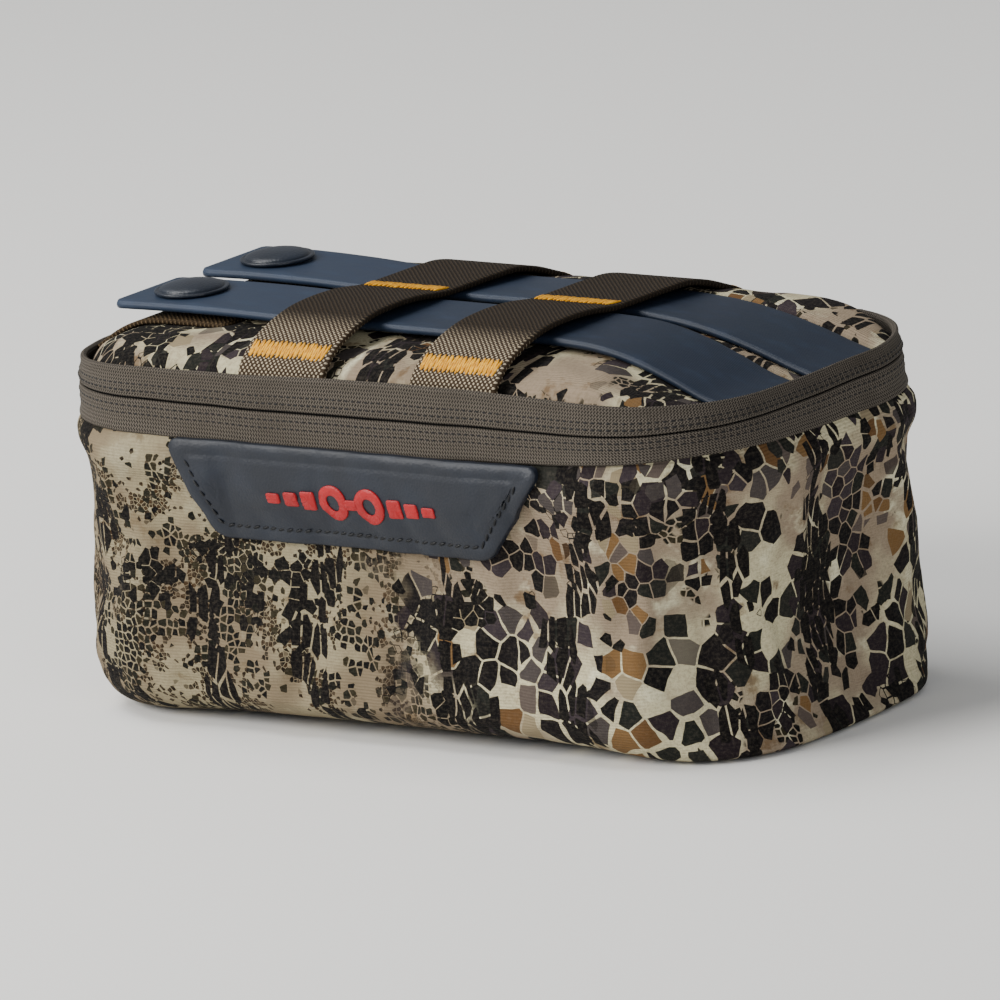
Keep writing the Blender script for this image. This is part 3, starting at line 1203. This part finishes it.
    # Upright wandering chains of long black cells.
    tall = g.warped(g.scaled(flat, 1.0, 0.38), 60.0, 0.0025)
    pick, _, edge, centre = g.cells(tall, 370.0, 0.8)
    wander = g.math("MULTIPLY", g.math("SUBTRACT", g.noise(g.scaled(centre, 0.3, 1.0), 70.0, 2.0), 0.5), 0.05)
    across = g.math("SINE", g.math("MULTIPLY", g.math("ADD", g.part(centre, 0), wander), TAU / CHAIN_SPACING))
    near = g.math("ADD", across, g.math("MULTIPLY", g.noise(centre, 75.0, 2.0), 0.9))
    chain = g.math("MULTIPLY", g.step(near, 1.17, 1.18), g.step(edge, 0.065, 0.095))
    chain = g.math("MULTIPLY", chain, g.step(pick, 0.1, 0.11))
    colour = g.mix(chain, colour, tone(21, 18, 19))

    colour = g.mix(g.math("MULTIPLY", g.step(fine, 0.4, 0.75), 0.1), colour, tone(150, 140, 124))
    g.feed(g.shader.inputs["Base Color"], colour)

    rib = g.math("SINE", g.math("MULTIPLY", height, TAU / (0.72 * MM)))
    thread = g.math("SINE", g.math("MULTIPLY", run, TAU / (0.5 * MM)))
    knit = g.math("ADD", rib, g.math("MULTIPLY", thread, 0.4))
    g.bump(g.math("ADD", knit, g.math("MULTIPLY", fine, 2.5)), 0.045 * MM)
    return g.material


def woven(name, base, pick_colour, pitch, contrast, front_light=0.0):
    """Woven tape or webbing: short picks crossing in rows, a little lighter where they rise."""
    g = Graph(name, Roughness=0.85, Specular_IOR_Level=0.15)
    flat = g.warped(g.cloth(), 240.0, 0.0004)
    across, run = g.part(flat, 0), g.part(flat, 1)
    rows = g.math("SINE", g.math("MULTIPLY", run, TAU / pitch))
    columns = g.math("SINE", g.math("MULTIPLY", across, TAU / pitch))
    crossing = g.math("MULTIPLY", rows, columns)
    dirt = g.noise(flat, 130.0, 4.0)
    colour = g.mix(g.math("MULTIPLY", g.step(crossing, -0.2, 0.9), contrast), base, pick_colour)
    if front_light:
        near_front = g.step(g.part(g.place(), 1), front_light + 4 * MM, front_light - 6 * MM)
        tan = g.mix(g.step(crossing, 0.15, 0.5), tone(74, 61, 46), tone(186, 174, 152))
        colour = g.mix(near_front, colour, tan)
    colour = g.mix(g.math("MULTIPLY", dirt, 0.4), colour, g.mix(0.5, colour, base))
    g.feed(g.shader.inputs["Base Color"], colour)
    g.bump(g.math("ADD", crossing, g.math("MULTIPLY", rows, 0.6)), 0.14 * MM)
    return g.material


def zip_tape():
    """Coarse knitted taupe tape: rows of little chevrons with dark gaps."""
    g = Graph("zip_tape", Roughness=0.88, Specular_IOR_Level=0.15)
    flat = g.warped(g.cloth(), 300.0, 0.0003)
    run, down = g.part(flat, 0), g.part(flat, 1)
    zigzag = g.math("PINGPONG", down, 0.45 * MM)
    slanted = g.math("SINE", g.math("MULTIPLY", g.math("ADD", run, zigzag), TAU / (0.8 * MM)))
    rows = g.math("SINE", g.math("MULTIPLY", down, TAU / (0.9 * MM)))
    raised = g.math("ADD", slanted, g.math("MULTIPLY", rows, 0.45))
    colour = g.mix(g.step(raised, -1.1, 0.4), tone(38, 35, 31), tone(117, 110, 101))
    colour = g.mix(g.math("MULTIPLY", g.step(g.noise(flat, 75.0, 4.0), 0.4, 0.75), 0.3), colour, tone(78, 72, 65))
    g.feed(g.shader.inputs["Base Color"], colour)
    g.bump(raised, 0.13 * MM)
    return g.material


def coated(name, colour, light, rib):
    """Smooth rubber-coated strap, ribbed along its length, faintly scuffed and greyer towards its free end."""
    g = Graph(name, Roughness=0.42, Specular_IOR_Level=0.22)
    flat = g.cloth()
    scuff = g.noise(g.scaled(flat, 1.0, 0.35), 210.0, 5.0, 0.65)
    handled = g.step(g.part(g.place(), 0), 50 * MM, -60 * MM)
    grey = g.math("ADD", g.math("MULTIPLY", g.step(scuff, 0.45, 0.8), 0.3), g.math("MULTIPLY", handled, 0.35))
    grey = g.math("ADD", grey, 0.35)
    g.feed(g.shader.inputs["Base Color"], g.mix(grey, colour, light))
    g.feed(g.shader.inputs["Roughness"], g.add("ShaderNodeMapRange", {
        "Value": scuff, "To Min": 0.38, "To Max": 0.56}).outputs["Result"])
    lines = g.math("SINE", g.math("MULTIPLY", g.part(flat, 0), TAU / rib))
    g.bump(g.math("ADD", g.math("MULTIPLY", lines, 0.6), g.noise(flat, 900.0, 2.0)), 0.025 * MM)
    return g.material


def grained(name, colour, light, roughness):
    """Smooth coated panel with a fine leathery grain."""
    g = Graph(name, Roughness=roughness, Specular_IOR_Level=0.4)
    place = g.place()
    grain = g.add("ShaderNodeTexVoronoi", {"Vector": place, "Scale": 1500.0}).outputs["Distance"]
    cloud = g.noise(place, 90.0, 4.0)
    g.feed(g.shader.inputs["Base Color"], g.mix(g.math("MULTIPLY", g.step(cloud, 0.35, 0.75), 0.6), colour, light))
    g.bump(grain, 0.05 * MM)
    return g.material


def satin_thread(name, colour, light, roughness=0.5):
    """Thread with a soft shine and uneven colour."""
    g = Graph(name, Roughness=roughness, Specular_IOR_Level=0.3)
    cloud = g.noise(g.place(), 900.0, 2.0)
    g.feed(g.shader.inputs["Base Color"], g.mix(g.step(cloud, 0.3, 0.7), colour, light))
    g.bump(g.noise(g.scaled(g.place(), 1.0, 0.15, 1.0), 3200.0, 1.0), 0.05 * MM)
    return g.material


def lining_cloth():
    """Plain smooth lining, dark taupe, with a fine weave."""
    g = Graph("lining", Roughness=0.75, Specular_IOR_Level=0.25)
    flat = g.cloth()
    weave = g.math("MULTIPLY", g.math("SINE", g.math("MULTIPLY", g.part(flat, 0), TAU / (0.7 * MM))),
                   g.math("SINE", g.math("MULTIPLY", g.part(flat, 1), TAU / (0.7 * MM))))
    cloud = g.noise(flat, 45.0, 4.0)
    g.feed(g.shader.inputs["Base Color"], g.mix(cloud, tone(62, 58, 52), tone(90, 85, 76)))
    g.bump(weave, 0.04 * MM)
    return g.material


def brushed_metal(name, colour, roughness):
    """Dark plated metal with small rubbed marks."""
    g = Graph(name, Metallic=1.0, Roughness=roughness)
    place = g.place()
    marks = g.noise(g.scaled(place, 1.0, 1.0, 5.0), 1400.0, 4.0, 0.7)
    g.feed(g.shader.inputs["Base Color"], g.mix(g.step(marks, 0.4, 0.75), colour, g.mix(0.5, colour, tone(200, 196, 188))))
    g.feed(g.shader.inputs["Roughness"], g.add("ShaderNodeMapRange", {
        "Value": marks, "To Min": roughness - 0.1, "To Max": roughness + 0.15}).outputs["Result"])
    g.bump(marks, 0.02 * MM)
    return g.material


# ---------------------------------------------------------------- stage, camera and light

def make_stage():
    """A pale floor under the pouch."""
    mesh = bpy.data.meshes.new("floor")
    reach = 4.0
    mesh.from_pydata([(-reach, -reach, 0), (reach, -reach, 0), (reach, reach, 0), (-reach, reach, 0)], [], [(0, 1, 2, 3)])
    floor = link("floor", mesh, smooth_faces=False)
    g = Graph("floor_paint", Roughness=0.9, Specular_IOR_Level=0.1)
    g.feed(g.shader.inputs["Base Color"], tone(236, 235, 232))
    mesh.materials.append(g.material)


def make_camera():
    """A long lens from the front right, a little above."""
    azimuth, elevation, roll = math.radians(39.28), math.radians(13.39), math.radians(5.522)
    distance = 3.8034
    target = Vector((-0.0003, 0, 0.0459))
    back = Vector((math.sin(azimuth) * math.cos(elevation), -math.cos(azimuth) * math.cos(elevation), math.sin(elevation)))
    right = (-back).cross(Vector((0, 0, 1))).normalized()
    up = right.cross(-back)
    turned_right = right * math.cos(roll) - up * math.sin(roll)
    turned_up = right * math.sin(roll) + up * math.cos(roll)
    data = bpy.data.cameras.new("camera")
    data.lens = 590.2
    data.sensor_width = 36
    data.clip_end = 50
    camera = bpy.data.objects.new("camera", data)
    camera.matrix_world = Matrix.Translation(target + back * distance) @ Matrix(
        (turned_right, turned_up, back)).transposed().to_4x4()
    bpy.context.scene.collection.objects.link(camera)
    bpy.context.scene.camera = camera


def area_light(name, position, size, power, colour):
    data = bpy.data.lights.new(name, "AREA")
    data.shape = "RECTANGLE"
    data.size, data.size_y = size
    data.energy = power
    data.color = colour
    light = bpy.data.objects.new(name, data)
    light.location = position
    light.rotation_euler = (Vector((0, 0, 0.05)) - Vector(position)).to_track_quat("-Z", "Y").to_euler()
    bpy.context.scene.collection.objects.link(light)


def make_lights():
    """Soft studio light: a key from the front left, a fill from the right and a large light above."""
    area_light("key", (-0.75, -1.15, 0.8), (0.9, 0.7), 29, (1.0, 0.985, 0.96))
    area_light("fill", (1.3, -0.9, 0.5), (0.9, 0.9), 9, (0.97, 0.98, 1.0))
    area_light("overhead", (-0.7, -0.15, 1.3), (1.0, 0.8), 17, (1.0, 1.0, 1.0))
    world = bpy.data.worlds.new("studio")
    world.use_nodes = True
    background = world.node_tree.nodes["Background"]
    background.inputs["Color"].default_value = (0.9, 0.92, 0.95, 1)
    background.inputs["Strength"].default_value = 0.38
    bpy.context.scene.world = world


# ---------------------------------------------------------------- build

def paint(material, *nodes):
    """Give the CAD nodes that stay their material."""
    for name in nodes:
        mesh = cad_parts[name].data
        mesh.materials.clear()
        mesh.materials.append(material)


def build():
    camo = camo_fabric()
    lining = lining_cloth()
    tape = zip_tape()
    coil = satin_thread("zip_coil", tone(20, 18, 16), tone(36, 33, 30), 0.6)
    webbing = woven("webbing", tone(43, 36, 28), tone(84, 72, 56), WEAVE_PITCH, 0.9, front_light=-35 * MM)
    tab_cloth = woven("tab_webbing", tone(66, 54, 38), tone(128, 110, 84), WEAVE_PITCH, 0.9)
    gold = satin_thread("tack_thread", tone(196, 141, 12), tone(228, 176, 34))
    dark_thread = satin_thread("patch_thread", tone(8, 10, 14), tone(16, 20, 26))
    strap = coated("strap_coated", tone(22, 28, 39), tone(58, 72, 92), 0.62 * MM)
    cap = grained("snap_cap", tone(28, 36, 48), tone(42, 52, 66), 0.36)
    patch = grained("patch_coated", tone(22, 30, 43), tone(33, 43, 58), 0.5)
    sign = grained("patch_print", tone(160, 12, 24), tone(184, 22, 34), 0.45)
    metal = brushed_metal("zip_metal", tone(86, 82, 78), 0.38)
    snap_metal = brushed_metal("snap_metal", tone(120, 118, 114), 0.32)
    rubber = grained("pull_rubber", tone(40, 44, 50), tone(56, 62, 70), 0.55)

    wall = make_wall(camo)
    surface = front_surface(wall)
    make_liner(lining)
    make_lid(camo)
    make_lid_underside(lining)
    make_tape("lower_tape", "pouch", LOWER_TAPE, tape, "lower_zip_tape")
    make_tape("upper_tape", "lid", UPPER_TAPE, tape, "upper_zip_tape")
    make_band_stitches("lower_tape_stitches", "pouch", -1, coil)
    make_band_stitches("upper_tape_stitches", "lid", 1, coil)
    make_coil("lower_coil", "pouch", 0, -1, coil, "lower_zip_coil")
    make_coil("upper_coil", "lid", 1, 1, coil, "upper_zip_coil")
    make_hinge(tape)
    make_patch(surface, patch)
    make_patch_stitches(surface, dark_thread)
    make_emblem(surface, sign)
    for side, name in ((-1, "near"), (1, "far")):
        nodes = (f"{name}_strap", f"{name}_strap_tail")
        make_strap(f"{name}_strap_run", side, nodes, strap)
        make_tab(f"{name}_tab", side, f"{name}_snap_tab", tab_cloth)
        make_cap(f"{name}_cap", f"{name}_snap_cap", f"{name}_strap_end", cap)
        paint(snap_metal, f"{name}_snap_socket", f"{name}_snap_stud")
    for middle, name in ((WEB_LEFT[0], "left"), (WEB_RIGHT[0], "right")):
        make_webbing(f"{name}_webbing_run", middle, f"{name}_webbing", webbing)
        make_tacks(f"{name}_tacks", middle, TACK_PLACES, gold, f"{name}_webbing_tacks")
    make_pull(rubber)
    paint(metal, "slider_body", "slider_bail", "pull_link", "zip_end_stops")


TACK_PLACES = (-46.2 * MM, -2.0 * MM, 44.4 * MM)

make_stage()
make_camera()
make_lights()
build()
